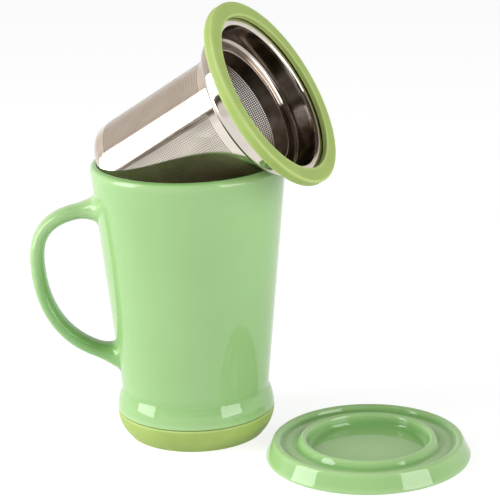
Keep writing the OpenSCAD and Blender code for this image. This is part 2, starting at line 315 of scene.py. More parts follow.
# rings round a turned steel part: noise over its radius and height, nearly even round it
def ringGroup():
    lineShare, patchShare, patchScale = 0.6, 0.4, 55.0   # what the mask is made of
    group, n, given, out = newGroup(
        "turnedRings",
        [("Vector", "Vector", None), ("Rings", "Float", 3500.0), ("Smear", "Float", 60.0)],
        [("Height", "Float"), ("Mask", "Float")],
    )
    part = n.add("ShaderNodeSeparateXYZ", in_0=given["Vector"]).outputs
    radius = n.math("SQRT", n.plus(n.times(part[0], part[0]), n.times(part[1], part[1])))
    along = n.add("ShaderNodeCombineXYZ", in_0=n.times(radius, given["Rings"]),
                  in_1=n.times(part[2], given["Rings"])).outputs[0]
    smeared = n.add("ShaderNodeVectorMath", operation="SCALE", in_0=given["Vector"],
                    in_Scale=given["Smear"]).outputs[0]
    place = n.add("ShaderNodeVectorMath", operation="ADD", in_0=along, in_1=smeared).outputs[0]
    lines = n.noise(place, 1.0, detail=3.0, roughness=0.6)
    patches = n.noise(given["Vector"], patchScale, detail=3.0)
    n.feed(out["Height"], lines)
    mask = n.plus(n.times(lines, lineShare), n.times(patches, patchShare))
    n.feed(out["Mask"], n.ramp(mask, *noiseMiddle))
    return group


cloudAndSpecks, fineGrain, turnedRings = cloudGroup(), grainGroup(), ringGroup()


def newMaterial(name):
    material = bpy.data.materials.new(name)
    material.use_nodes = True
    nodes = Nodes(material.node_tree)
    shader = material.node_tree.nodes["Principled BSDF"]
    place = nodes.add("ShaderNodeTexCoord").outputs["Object"]
    return material, nodes, shader, place


# written as 0 to 255 per channel, turned to the linear value that Blender mixes
def colour(red, green, blue):
    c = np.array([red, green, blue]) / 255
    c = np.where(c <= 0.04045, c / 12.92, ((c + 0.055) / 1.055) ** 2.4)
    return (*c.tolist(), 1.0)


glazeLook = {
    # the thin and thick colours also paint light and shade on the handle
    "thick": colour(126, 178, 102),     # where the glaze gathers in hollows
    "even": colour(155, 196, 129),
    "cloud": colour(159, 200, 134),
    "thinAndLit": colour(178, 212, 152),      # where it runs thin over an edge
    "cloudScale": 28.0, "speckScale": 1400.0, "specks": 0.12,
    "edges": (0.15, 1.0, 0.0, 0.5),     # bend from and to, and share of the thin colour there
    "hollows": (-0.1, -0.9, 0.0, 0.8),  # the same for the thick colour
    "roughness": (0.035, 0.07), "streakScale": 60.0,
    "bump": 0.5, "waveScale": 70.0, "waveHeight": 0.00005,   # metres
    "index": 1.53,
}


# glaze: cloudy green, mixed to the thin colour on edges and to the thick one in hollows; on the handle the
# same mix is painted light and painted shade
def glazeMaterial():
    look = glazeLook
    material, n, shader, place = newMaterial("springGlaze")
    tone = n.group(cloudAndSpecks, Vector=place, Light=look["cloud"], Dark=look["even"],
                   Cloud_Scale=look["cloudScale"], Speck_Scale=look["speckScale"], Specks=look["specks"])
    bend = n.attribute("bend")
    withEdges = n.mix(n.ramp(bend, *look["edges"]), tone["Color"], look["thinAndLit"])
    n.feed(shader.inputs["Base Color"], n.mix(n.ramp(bend, *look["hollows"]), withEdges, look["thick"]))
    streaks = n.noise(place, look["streakScale"], detail=3.0)
    n.feed(shader.inputs["Roughness"], n.ramp(streaks, *noiseMiddle, *look["roughness"]))
    shader.inputs["IOR"].default_value = look["index"]
    wave = n.noise(place, look["waveScale"], detail=1.0)
    bump = n.add("ShaderNodeBump", in_Strength=look["bump"], in_Distance=look["waveHeight"], in_Height=wave)
    n.feed(shader.inputs["Normal"], bump.outputs[0])
    return material


siliconeLook = {
    "light": colour(170, 193, 106),
    "dark": colour(158, 182, 94),
    "paintedHighlight": colour(204, 222, 142),    # on edges
    "cloudScale": 60.0, "speckScale": 2600.0, "specks": 0.2,
    "edges": (0.3, 1.0, 0.0, 0.5),      # bend from and to, and share of the painted edge highlight there
    "roughness": (0.47, 0.58),
    "bump": 0.35, "grainScale": 2600.0, "coarse": 0.4, "grainHeight": 0.00005,   # metres
    "specular": 0.4,
}


# silicone: cloudy lime with fine specks and grain, with a paler painted highlight on its edges
def siliconeMaterial():
    look = siliconeLook
    material, n, shader, place = newMaterial("limeSilicone")
    tone = n.group(cloudAndSpecks, Vector=place, Light=look["light"], Dark=look["dark"],
                   Cloud_Scale=look["cloudScale"], Speck_Scale=look["speckScale"], Specks=look["specks"])
    # painted highlight: edges get a paler colour that stands in for the light line along rounded edges
    paintedHighlight = n.ramp(n.attribute("bend"), *look["edges"])
    n.feed(shader.inputs["Base Color"], n.mix(paintedHighlight, tone["Color"], look["paintedHighlight"]))
    n.feed(shader.inputs["Roughness"], n.ramp(tone["Mask"], 0.0, 1.0, *look["roughness"]))
    height = n.group(fineGrain, Vector=place, Scale=look["grainScale"], Coarse=look["coarse"])["Height"]
    bump = n.add("ShaderNodeBump", in_Strength=look["bump"], in_Distance=look["grainHeight"],
                 in_Height=height)
    n.feed(shader.inputs["Normal"], bump.outputs[0])
    shader.inputs["Specular IOR Level"].default_value = look["specular"]
    return material


cameraPlace = {
    "position": (26.99, -924.16, 364.69),
    "down": 16.79,         # degrees below the horizon
    "roll": -1.58,
    "lens": 151.91, "sensor": 36.0,
    "clip": (0.05, 20),    # metres
}


def makeCamera():
    data = bpy.data.cameras.new("tableCamera")
    data.sensor_width, data.lens = cameraPlace["sensor"], cameraPlace["lens"]
    data.clip_start, data.clip_end = cameraPlace["clip"]
    camera = bpy.data.objects.new("tableCamera", data)
    bpy.context.scene.collection.objects.link(camera)
    down, roll = math.radians(cameraPlace["down"]), math.radians(cameraPlace["roll"])
    turn = Matrix.Rotation(math.pi / 2 - down, 4, "X") @ Matrix.Rotation(roll, 4, "Z")
    camera.matrix_world = Matrix.Translation([c * mm for c in cameraPlace["position"]]) @ turn
    bpy.context.scene.camera = camera


stageLook = {
    "floorRadius": 9.0, "floorSides": 96,    # radius in metres
    "floorTone": (0.88, 0.88, 0.88, 1),      # for the light that it throws back
    "shade": 0.36,                           # share of the floor's tone that shadows can take away
    "glow": 1.01, "lit": 0.6,                # brightness wanted, and how bright the lamps make white
    # azimuth from the camera's side, then distance, width, height and lower edge in metres, and radiance
    "softboxes": {
        "left": (-77.2, 1.0, 0.553, 1.15, 0.0, 5.85),
        "right": (53.5, 1.0, 0.57, 1.0, 0.04, 4.6),
    },
}


# the floor: a flat disc. The camera and mirrors see it white with soft shadows, other rays see it pale
def makeTable():
    look = stageLook
    mesh = bpy.data.meshes.new("paleFloor")
    v = np.linspace(0, 2 * np.pi, look["floorSides"], endpoint=False)
    rim = np.column_stack([np.cos(v), np.sin(v), 0 * v]) * look["floorRadius"]
    mesh.from_pydata(rim.tolist(), [], [list(range(look["floorSides"]))])
    floor = bpy.data.objects.new("paleFloor", mesh)
    bpy.context.scene.collection.objects.link(floor)
    material = bpy.data.materials.new("paleFloor")
    material.use_nodes = True
    n = Nodes(material.node_tree)
    n.tree.nodes.clear()
    path = n.add("ShaderNodeLightPath").outputs
    seen = n.larger(n.larger(path["Is Camera Ray"], path["Is Glossy Ray"]), path["Is Transmission Ray"])
    plain = n.add("ShaderNodeBsdfDiffuse", in_Color=look["floorTone"])
    soft = n.add("ShaderNodeBsdfDiffuse", in_Color=(look["shade"],) * 3 + (1,))
    glow = n.add("ShaderNodeEmission", in_Color=(1, 1, 1, 1),
                 in_Strength=look["glow"] - look["shade"] * look["lit"])
    both = n.add("ShaderNodeAddShader", in_0=soft.outputs[0], in_1=glow.outputs[0])
    shown = n.add("ShaderNodeMixShader", in_0=seen, in_1=plain.outputs[0], in_2=both.outputs[0])
    n.add("ShaderNodeOutputMaterial", in_Surface=shown.outputs[0])
    mesh.materials.append(material)


def makeSoftboxes():
    for name, (azimuth, distance, width, height, lowEdge, radiance) in stageLook["softboxes"].items():
        data = bpy.data.lights.new(name + "Softbox", "AREA")
        data.shape, data.size, data.size_y = "RECTANGLE", width, height
        data.energy = radiance * math.pi * width * height
        box = bpy.data.objects.new(name + "Softbox", data)
        bpy.context.scene.collection.objects.link(box)
        a = math.radians(azimuth)
        box.location = (math.sin(a) * distance, -math.cos(a) * distance, lowEdge + height / 2)
        box.rotation_euler = (math.pi / 2, 0, a)


# what lights and what is mirrored from all round; heights and sides are parts of a unit direction
roomLook = {
    "fill": (0.9, 0.1, 0.12),                # from the left, from the camera's side, from everywhere
    "white": (1, 1, 1, 1),
    "warm": (0.84, 0.77, 0.72, 1), "warming": (0.12, 0.36),   # the sweep turns warm between these heights
    "sweepTop": (0.52, 0.74), "behind": (-0.35, 0.25),        # where it ends upwards and to the front
    "dark": (0.03, 0.022, 0.016, 1), "dim": (0.13, 0.10, 0.08, 1),   # the room's two browns
    "patchScale": 2.2, "patches": (0.35, 0.65),
    "wall": (0.95, 0.92, 0.86, 1), "wallTop": (0.12, 0.2),    # the low pale wall and where it ends
    "wallSlant": 1.5, "wallSide": (-0.04, 0.06),
}


# what steel and glaze mirror: a white sweep at the horizon and behind, which turns warm and ends
# higher up, a low pale wall in front, and a dim brown room above it. Other rays find a weak even fill
def makeWorld():
    look = roomLook
    world = bpy.data.worlds.new("studio")
    world.use_nodes = True
    bpy.context.scene.world = world
    n = Nodes(world.node_tree)
    n.tree.nodes.clear()
    path = n.add("ShaderNodeLightPath").outputs
    outward = n.add("ShaderNodeTexCoord").outputs["Generated"]
    way = n.add("ShaderNodeSeparateXYZ", in_0=outward).outputs
    fromLeft, fromNear, fromAll = look["fill"]
    left = n.times(n.larger(n.times(way[0], -1.0), 0.0), fromLeft)
    near = n.times(n.larger(n.times(way[1], -1.0), 0.0), fromNear)
    fill = n.plus(n.plus(left, near), fromAll)
    high = n.ramp(way[2], *look["sweepTop"], 1.0, 0.0)
    behind = n.ramp(way[1], *look["behind"])
    sweep = n.mix(n.ramp(way[2], *look["warming"]), look["white"], look["warm"])
    patches = n.ramp(n.noise(outward, look["patchScale"], detail=2.0), *look["patches"])
    room = n.mix(patches, look["dark"], look["dim"])
    low = n.ramp(way[2], *look["wallTop"], 1.0, 0.0)
    beside = n.ramp(n.math("SUBTRACT", way[0], n.times(way[1], look["wallSlant"])), *look["wallSide"])
    front = n.mix(n.times(low, beside), room, look["wall"])
    mirrored = n.mix(n.times(high, behind), front, sweep)
    reflected = n.larger(path["Is Glossy Ray"], path["Is Transmission Ray"])
    tone = n.mix(reflected, look["white"], mirrored)
    seen = n.larger(path["Is Camera Ray"], reflected)
    strength = n.add("ShaderNodeMix", data_type="FLOAT", in_0=seen, in_2=fill, in_3=1.0)
    back = n.add("ShaderNodeBackground", in_Color=tone, in_Strength=strength.outputs[0])
    n.add("ShaderNodeOutputWorld", in_Surface=back.outputs[0])


makeCamera()
makeTable()
makeSoftboxes()
makeWorld()
bpy.context.scene.view_settings.view_transform = "Standard"
print("camera and stage made")

glaze, silicone = glazeMaterial(), siliconeMaterial()


def finishPiece(piece, body, slotName, material, *nodes):
    piece.data.materials.append(material)
    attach(piece, body)
    if nodes:
        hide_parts(*nodes)


mug = {
    "height": 129.4, "rimRadius": 44.6, "taper": 5.6, "wall": 3.2,
    "floorHeight": 9.5, "floorRounding": 9.0,
    "rimOuter": 2.65, "rimInner": 0.5,   # roundings of the rim towards the outside and the inside
    "bandRadius": 36.4, "bandHeight": 11.5, "bandBulge": 26.0, "bandEdge": 0.5, "waist": 6.0,
    "bootTop": 11.8, "bootSeam": 0.3, "bootFloor": 2.2, "bootWall": 1.8, "bootBulge": 14.8, "bootFit": 0.1,
    "longest": 2.5, "bendReach": 1.6,    # step of its outline, and how far its bends are softened
}


# the straight side: rim radius less the depth below the rim times tan(taper)
def bodyRadius(z):
    return mug["rimRadius"] - (mug["height"] - z) * math.tan(math.radians(mug["taper"]))


# where a circle round the band's height is at height z: asin(height above its centre / radius), in degrees
def angleAt(z, radius):
    return math.degrees(math.asin((z - mug["bandHeight"]) / radius))


# outer line: spigot in the boot, band, waist curve, straight side, rim; then the cavity back down.
# The waist's circle touches the band's circle and the straight side
def mugOutline():
    m = mug
    taper = math.radians(m["taper"])
    slant = math.cos(taper)
    side = np.array([math.cos(taper), -math.sin(taper)])
    up = np.array([math.sin(taper), math.cos(taper)])
    band = np.array([m["bandRadius"] - m["bandBulge"], m["bandHeight"]])
    onSide = np.array([bodyRadius(m["bandHeight"]), m["bandHeight"]]) + m["waist"] * side - band
    along = onSide @ up
    reach = m["bandBulge"] + m["waist"]
    waist = band + onSide + (math.sqrt(along**2 - onSide @ onSide + reach**2) - along) * up
    waistAngle = math.degrees(math.atan2(*(waist - band)[::-1]))
    edge = m["bootTop"] + m["bootSeam"]
    bandLow = angleAt(edge + m["bandEdge"], m["bandBulge"])
    edgeRadius = (band + m["bandBulge"] * direction(bandLow))[0] - m["bandEdge"]
    spigot = m["bootBulge"] - m["bootWall"] - m["bootFit"]
    bootCentre = (m["bandRadius"] - m["bootBulge"], m["bandHeight"])
    wallAcross = m["wall"] / slant
    outerZ, innerZ = m["height"] - m["rimOuter"], m["height"] - m["rimInner"]
    outerRim = (bodyRadius(outerZ) - m["rimOuter"] / slant, outerZ)
    innerRim = (bodyRadius(innerZ) - wallAcross + m["rimInner"] / slant, innerZ)
    floorZ = m["floorHeight"] + m["floorRounding"]
    cavity = (bodyRadius(floorZ) - wallAcross - m["floorRounding"] / slant, floorZ)
    points = np.vstack([
        [[0, m["bootFloor"]]],
        arc(bootCentre, spigot, angleAt(m["bootFloor"], spigot), angleAt(edge, spigot), count=10),
        arc((edgeRadius, edge + m["bandEdge"]), m["bandEdge"], -90, 0, count=6),
        arc(band, m["bandBulge"], bandLow, waistAngle, count=28)[1:],
        arc(waist, m["waist"], waistAngle + 180, 180 - m["taper"], count=24)[1:],
        arc(outerRim, m["rimOuter"], -m["taper"], 90, count=24),
        arc(innerRim, m["rimInner"], 90, 180 - m["taper"], count=12),
        arc(cavity, m["floorRounding"], -m["taper"], -90, count=20),
        [[0, m["floorHeight"]]],
    ])
    return fineAxisOutline(points, m["longest"])


mugBody = revolved("mugBody", mugOutline(), mug["bendReach"])
finishPiece(mugBody, "mug", "glaze", glaze, "mug_body")

boot = {
    "edge": 0.8, "lip": 0.5,     # roundings of its lower edge and of its lip
    "soleRings": (12, 24),       # radii of extra rings on its underside
    "bendReach": 0.6,
}


# outer line: flat underside, lower edge, bulge and lip; then the bore back down to the boot's own floor
def bootOutline():
    m, b = mug, boot
    centre = np.array([m["bandRadius"] - m["bootBulge"], m["bandHeight"]])
    bulge, bore = m["bootBulge"], m["bootBulge"] - m["bootWall"]
    lipHeight = m["bootTop"] - b["lip"]
    lowAngle, topAngle = angleAt(b["edge"], bulge), angleAt(lipHeight, bulge)
    boreTop, boreLow = angleAt(lipHeight, bore), angleAt(m["bootFloor"], bore)
    low, outerTop = centre + bulge * direction(lowAngle), centre + bulge * direction(topAngle)
    innerTop = centre + bore * direction(boreTop)
    return np.vstack([
        [[r, 0] for r in (0, *b["soleRings"])],
        arc(low - [b["edge"], 0], b["edge"], -90, 0, count=10),
        arc(centre, bulge, lowAngle, topAngle, count=24)[1:],
        arc(outerTop - [b["lip"], 0], b["lip"], 0, 90, count=8)[1:],
        arc(innerTop + [b["lip"], 0], b["lip"], 90, 180, count=8),
        arc(centre, bore, boreTop, boreLow, count=14)[1:],
        [[0, m["bootFloor"]]],
    ])


baseBoot = revolved("siliconeBoot", bootOutline(), boot["bendReach"])
finishPiece(baseBoot, "mug", "silicone", silicone, "base_boot")
print("mug body and boot made")


handle = {
    "topHeight": 108.0, "lowHeight": 37.3, "reach": 70.4, "crownHeight": 84.3,
    "thick": 6.7, "width": 12.0, "power": 2.4,
    "inside": 2.2, "rooted": 4.0,        # how far it runs into the wall, and where its curve starts
    "flare": 2.6, "flareLength": 10.0, "fillet": 1.8,
    "topRun": (18.0, -0.8), "crownRise": 19.0, "crownDrop": 20.7, "lowRun": (30.0, 3.4),
    "rings": 150, "sides": 64, "sharp": 60,
    # painted light and shade, and pooled glaze: how much lighter the upper arm and the outer side are
    # painted, how much darker the inner side is painted, and how thick the glaze pools at the joints
    "paintedLightAndPooling": {"upper": 0.95, "outer": 0.9, "inner": 0.6, "joint": 0.4},
    "middleHeight": 88, "middleSpan": 22,   # between the lower arm and the upper
}


# a cubic curve and its direction: weights (1-t)^3, 3t(1-t)^2, 3t^2(1-t), t^3 of its four points
def cubic(points, t):
    p = np.array(points, float)
    t = t[:, None]
    place = (1 - t) ** 3 * p[0] + 3 * (1 - t) ** 2 * t * p[1] + 3 * (1 - t) * t**2 * p[2] + t**3 * p[3]
    way = (1 - t) ** 2 * (p[1] - p[0]) + 2 * (1 - t) * t * (p[2] - p[1]) + t**2 * (p[3] - p[2])
    return place, way / np.linalg.norm(way, axis=1)[:, None]


# the section |x/a|^p + |y/b|^p = 1 carried along the curve. At the distance d of its centre from the
# wall both half axes grow by flare * (1 - d / length)^2. A point that is itself at the distance e from
# the wall goes out by f - sqrt(f^2 - (f - e)^2) more, which is a fillet of radius f
def makeHandle():
    h = handle
    crown = np.array([h["reach"], h["crownHeight"]])
    top = np.array([bodyRadius(h["topHeight"]) - h["rooted"], h["topHeight"]])
    low = np.array([bodyRadius(h["lowHeight"]) - h["rooted"], h["lowHeight"]])
    half = h["rings"] // 2
    upper = cubic([top, top + h["topRun"], crown + [0, h["crownRise"]], crown],
                  np.linspace(0, 1, half, endpoint=False))
    lower = cubic([crown, crown - [0, h["crownDrop"]], low + h["lowRun"], low],
                  np.linspace(0, 1, half))
    place, way = np.vstack([upper[0], lower[0]]), np.vstack([upper[1], lower[1]])
    taper = math.cos(math.radians(mug["taper"]))
    away = (place[:, 0] - bodyRadius(place[:, 1])) * taper
    keep = away > -h["inside"]
    place, way, away = place[keep], way[keep], away[keep]
    flare = h["flare"] * np.clip(1 - np.maximum(away, 0) / h["flareLength"], 0, 1)[:, None] ** 2
    v = np.linspace(0, 2 * np.pi, h["sides"], endpoint=False)
    power = 2 / h["power"]
    across = np.sign(np.cos(v)) * np.abs(np.cos(v)) ** power
    sideways = np.sign(np.sin(v)) * np.abs(np.sin(v)) ** power

    def section(grow):
        a, b = h["thick"] / 2 + grow, h["width"] / 2 + grow
        return np.stack([-place[:, :1] + way[:, 1:] * a * across,
                         b * sideways + 0 * place[:, :1],
                         place[:, 1:] + way[:, :1] * a * across], -1)

    plain = section(flare)
    gap = np.hypot(plain[..., 0], plain[..., 1]) - bodyRadius(plain[..., 2])
    near = np.clip(h["fillet"] - np.maximum(gap * taper, 0), 0, None)
    points = section(flare + h["fillet"] - np.sqrt(np.maximum(h["fillet"] ** 2 - near**2, 0)))
    # a point that went out keeps its distance from the wall
    moved = (bodyRadius(points[..., 2]) + gap) / np.hypot(points[..., 0], points[..., 1])
    points[..., :2] *= moved[..., None]
    rings, n = len(place), h["sides"]
    ends = np.array([points[0].mean(0), points[-1].mean(0)])
    k, kk = np.arange(n), (np.arange(n) + 1) % n
    last, end = (rings - 1) * n, rings * n
    caps = np.vstack([np.column_stack([0 * k + end, kk, k]),
                      np.column_stack([0 * k + end + 1, last + k, last + kk])])
    piece = meshObject("mugHandle", np.vstack([points.reshape(-1, 3), ends]),
                       [gridFaces(rings, n, False), caps], h["sharp"])
    # painted light on the upper arm and the outer side, painted shade on the lower arm and the inner side,
    # and thick glaze pooled at the joints
    thinAndLit = h["paintedLightAndPooling"]
    height = np.clip((points[..., 2] - h["middleHeight"]) / h["middleSpan"], -1, 1)
    outward, inward = np.maximum(across, 0), np.minimum(across, 0)
    bend = thinAndLit["upper"] * height + thinAndLit["outer"] * outward + thinAndLit["inner"] * inward
    bend = bend - thinAndLit["joint"] * near / h["fillet"]
    # on the handle the bend attribute holds this painted light and shade, not its curvature
    setAttribute(piece, "bend", np.concatenate([bend.ravel(), [0, 0]]))
    return piece


finishPiece(makeHandle(), "mug", "glaze", glaze, "mug_handle")
print("handle made")


infuser = {
    "turn": -20.7, "lean": 58.4894,
    "foot": (-29.5945, 118.711),         # where its floor's centre is, in the plane of the lean
    "sheet": 0.5, "height": 69.6, "topRadius": 28.3, "lowRadius": 26.2,
    "floorEdge": 4.0, "cup": 6.5, "weld": 0.8,   # curve and height of the floor's cup, plain band above it
    "plainTop": 6.2, "lip": 1.6, "collarHeight": 12.7, "collarRadius": 35.1, "collarFillet": 3.0,
    "bead": 1.3, "flange": 6.0, "fit": 0.1, "neckGap": 0.7,
    "ringRadius": 44.9, "ringMouth": 37.8, "ringThick": 5.2, "ringFace": 2.4, "slotFit": 0.5,
    # roundings of the ring at its seat, under its rim, above its rim, at its mouth and in its slot
    "seatEdge": 0.5, "underEdge": 1.6, "ringEdge": 0.9, "mouthEdge": 0.45, "slotEdge": 0.2,
    "longest": 1.5, "bendReach": 0.7,
}


# from the infuser's own frame (floor at z = 0, mouth towards +Z) to where it leans
def infuserMatrix():
    i = infuser
    turn = Matrix.Rotation(math.radians(i["turn"]), 4, "Z")
    move = Matrix.Translation((i["foot"][0], 0, i["foot"][1]))
    return turn @ move @ Matrix.Rotation(math.radians(i["lean"]), 4, "Y")


leaning = infuserMatrix()


def leaned(points):
    m = np.array(leaning)
    return points @ m[:3, :3].T + m[:3, 3]


steelLook = {
    # roughness outside, low and high, and inside; density of the rings and their height in metres
    "polished": {"tone": colour(216, 208, 199), "roughness": (0.05, 0.10, 0.14),
                 "rings": 3000.0, "ringHeight": 0.000004},
    "sheet": {"tone": colour(232, 223, 212), "roughness": (0.08, 0.12, 0.36),
              "rings": 2200.0, "ringHeight": 0.0000015},
    "smear": 25.0, "bump": 0.4,
    "worn": 0.88,                        # share of the tone that the dull clouds keep
    "cloudScale": 90.0, "speckScale": 1500.0, "specks": 0.12,
    "inside": colour(84, 68, 54),        # tea-stained inner side
    "stain": (0.71, 0.96), "stainScale": 70.0, "stainPatches": (0.35, 0.65),
    "holeWall": colour(206, 188, 166), "holeRoughness": 0.55,
}


# steel: cloudy tone and fine turned rings, tea-stained where "inside" says so, dull on the walls of holes
def steelMaterial(name, finish):
    look = steelLook
    tone = finish["tone"]
    material, n, shader, place = newMaterial(name)
    own = n.add("ShaderNodeMapping", vector_type="TEXTURE", in_Vector=place)
    own.inputs["Location"].default_value = leaning.to_translation() * mm
    own.inputs["Rotation"].default_value = leaning.to_euler()
    rings = n.group(turnedRings, Vector=own.outputs[0], Rings=finish["rings"], Smear=look["smear"])
    dull = tuple(look["worn"] * c for c in tone[:3]) + (1,)
    worn = n.group(cloudAndSpecks, Vector=own.outputs[0], Light=tone, Dark=dull,
                   Cloud_Scale=look["cloudScale"], Speck_Scale=look["speckScale"], Specks=look["specks"])
    inside, wall = n.attribute("inside"), n.attribute("wall")
    stainNoise = n.noise(own.outputs[0], look["stainScale"], detail=3.0)
    stain = n.times(inside, n.ramp(stainNoise, *look["stainPatches"], *look["stain"]))
    sides = n.mix(stain, worn["Color"], look["inside"])
    n.feed(shader.inputs["Base Color"], n.mix(wall, sides, look["holeWall"]))
    low, high, within = finish["roughness"]
    roughness = n.ramp(rings["Mask"], 0.0, 1.0, low, high)
    roughness = n.ramp(inside, 0.0, 1.0, roughness, within)
    n.feed(shader.inputs["Roughness"], n.ramp(wall, 0.0, 1.0, roughness, look["holeRoughness"]))
    shader.inputs["Metallic"].default_value = 1.0
    bump = n.add("ShaderNodeBump", in_Strength=look["bump"], in_Distance=finish["ringHeight"],
                 in_Height=rings["Height"])
    n.feed(shader.inputs["Normal"], bump.outputs[0])
    return material


polishedSteel = steelMaterial("polishedSteel", steelLook["polished"])
sheetSteel = steelMaterial("sheetSteel", steelLook["sheet"])
print("materials made")


# the sizes above and those that follow from them: the sleeve's slope, the step that it hangs on, the
# top and the edge of the flange, the bead's centre and the ring's top
def infuserSizes():
    i = infuser
    s = dict(i)
    s["slope"] = (i["topRadius"] - i["lowRadius"]) / i["height"]
    s["step"] = i["height"] + i["sheet"]
    s["flangeTop"] = i["height"] + i["collarHeight"]
    s["beadCentre"] = (i["collarRadius"] + i["bead"], s["flangeTop"] - i["sheet"] - i["bead"])
    s["flangeRadius"] = i["collarRadius"] + i["bead"] + i["flange"]
    s["ringTop"] = s["flangeTop"] + i["slotFit"] + i["ringFace"]
    return s


sizes = infuserSizes()


# the sleeve's tapered side: low radius plus slope times height
def sleeveRadius(z):
    return infuser["lowRadius"] + sizes["slope"] * z


# the ring's section: a rounded block with the slot for the flange cut in from its mouth
def ringOutline():
    s = sizes
    slot, seat = s["flangeRadius"] + s["slotFit"], s["beadCentre"][0] + s["fit"]
    low, top = s["ringTop"] - s["ringThick"], s["ringTop"]
    slotLow, slotTop = s["flangeTop"] - s["sheet"], top - s["ringFace"]
    corners = [
        (seat, low, s["seatEdge"]), (s["ringRadius"], low, s["underEdge"]),
        (s["ringRadius"], top, s["ringEdge"]), (s["ringMouth"], top, s["mouthEdge"]),
        (s["ringMouth"], slotTop, s["slotEdge"]), (slot, slotTop, 0), (slot, slotLow, 0), (seat, slotLow, 0),
    ]
    return fineOutline(roundedOutline(corners, count=12), s["longest"])


ring = revolved("infuserRing", ringOutline(), infuser["bendReach"], leaned)
finishPiece(ring, "infuser", "silicone", silicone, "infuser_ring")


# flange, bead, upright wall, fillet and step of the drawn collar, all one sheet thick
def collarOutline():
    s = sizes
    neck = sleeveRadius(s["height"]) + s["neckGap"]
    fillet = (s["collarRadius"] - s["collarFillet"], s["height"] + s["collarFillet"])
    bead, r = s["beadCentre"], s["bead"]
    edge = s["sheet"] / 2
    return fineOutline(np.vstack([
        [[neck, s["height"]]],
        arc(fillet, s["collarFillet"], -90, 0, count=16),
        arc(bead, r, 180, 90, count=14),
        arc((s["flangeRadius"] - edge, s["flangeTop"] - edge), edge, -90, 90, count=8),
        arc(bead, r + s["sheet"], 90, 180, count=14),
        arc(fillet, s["collarFillet"] - s["sheet"], 0, -90, count=14),
        [[neck, s["step"]]],
    ]), s["longest"])


# the collar's tea stain fades in below its flange over "top", and out to "least" over "fade", which
# ends "foot" above the step's underside
collarStain = {"top": 1.5, "foot": 1.2, "fade": 1.6, "least": 0.3}


# the stain's depth at each point of the collar's outline: none on its outer side, and on its inner side
# the product of the two fades
def stainDepth(line):
    c, height = collarStain, line[:, 1]
    upperSide = np.arange(len(line)) > line[:, 0].argmax()
    depth = np.clip((sizes["flangeTop"] - c["top"] - height) / c["top"], 0, 1)
    depth *= np.clip((height - sizes["height"] - c["foot"]) / c["fade"], c["least"], 1)
    return upperSide * depth


collarLine = collarOutline()
collar = revolved("infuserCollar", collarLine, infuser["bendReach"], leaned, stainDepth(collarLine))
finishPiece(collar, "infuser", "polished_steel", polishedSteel, "infuser_collar")
print("ring and collar made")

holes = {
    "pitch": 0.94, "size": 0.34,         # spacing of the holes, radius of a hole
    "sectors": 3,                        # pieces of the sleeve
    "floorGap": 0.6, "floorTrim": 0.75,  # room round the floor's lattice: in mm, and as a share of the pitch
}


# a square lattice of round holes: columns run round a sheet and rows along it, in steps of one hole.
# Each cell has an eight-sided hole, and four five-cornered faces join the hole to the cell's corners
def holeCells(columns, rows, firstColumn, lastColumn):
    def cornerIndex(column, row):
        return column % columns + row * columns

    corners = np.stack(np.meshgrid(np.arange(columns), np.arange(rows + 1)), -1)
    corners = corners.reshape(-1, 2).astype(float)
    c, r = (g.ravel() for g in np.meshgrid(np.arange(firstColumn, lastColumn), np.arange(rows)))
    a = np.radians(45 * np.arange(8))
    size = holes["size"] / holes["pitch"]
    rim = np.stack([c[:, None] + 0.5 + size * np.cos(a), r[:, None] + 0.5 + size * np.sin(a)], -1)
    first = len(corners) + 8 * np.arange(len(c))
    cell = [cornerIndex(c + 1, r), cornerIndex(c + 1, r + 1), cornerIndex(c, r + 1), cornerIndex(c, r)]
    faces = [np.column_stack([cell[q], cell[(q + 1) % 4],
                              first + 2 * q + 1, first + 2 * q, first + (2 * q - 1) % 8])
             for q in range(4)]
    return np.vstack([corners, rim.reshape(-1, 2)]), faces


# the sleeve's wall in a few sectors: radius = low radius + slope * z, with the lattice laid round it
def makeSleeve():
    s = sizes
    low, high = s["cup"] + s["weld"], s["height"] - s["plainTop"]
    columns = round(2 * math.pi * sleeveRadius((low + high) / 2) / holes["pitch"])
    rows = round((high - low) / holes["pitch"])
    share = columns // holes["sectors"]
    for k in range(holes["sectors"]):
        last = columns if k == holes["sectors"] - 1 else (k + 1) * share
        places, faces = holeCells(columns, rows, k * share, last)
        v = places[:, 0] * 2 * np.pi / columns
        z = low + places[:, 1] * (high - low) / rows
        outerRadius = sleeveRadius(z)
        outer, inner = (np.column_stack([radius * np.cos(v), radius * np.sin(v), z])
                        for radius in (outerRadius, outerRadius - s["sheet"]))
        piece = thickSheet("sleeveMesh%d" % (k + 1), leaned(outer), leaned(inner), faces)
        finishPiece(piece, "infuser", "sheet_steel", sheetSteel, "infuser_sleeve")
    return low, high, columns


meshLow, meshHigh, meshColumns = makeSleeve()


# plain margin above the holes, and the rolled lip that hangs on the collar's step
def marginOutline():
    s = sizes
    top, t = sleeveRadius(s["height"]), s["sheet"]
    lipEdge = top + s["lip"]
    return fineOutline(np.vstack([
        [[sleeveRadius(meshHigh), meshHigh], [top, s["height"]], [top, s["step"]]],
        arc((lipEdge - t / 2, s["step"] + t / 2), t / 2, -90, 90, count=8),
        arc((top, s["step"]), t, 90, 180, count=8),
        [[top - t, s["height"]], [sleeveRadius(meshHigh) - t, meshHigh]],
    ]), s["longest"])


# plain weld band between the floor's cup and the holes
def weldOutline():
    s = sizes
    t = s["sheet"]
    return np.array([[sleeveRadius(s["cup"]), s["cup"]], [sleeveRadius(meshLow), meshLow],
                     [sleeveRadius(meshLow) - t, meshLow], [sleeveRadius(s["cup"]) - t, s["cup"]]])


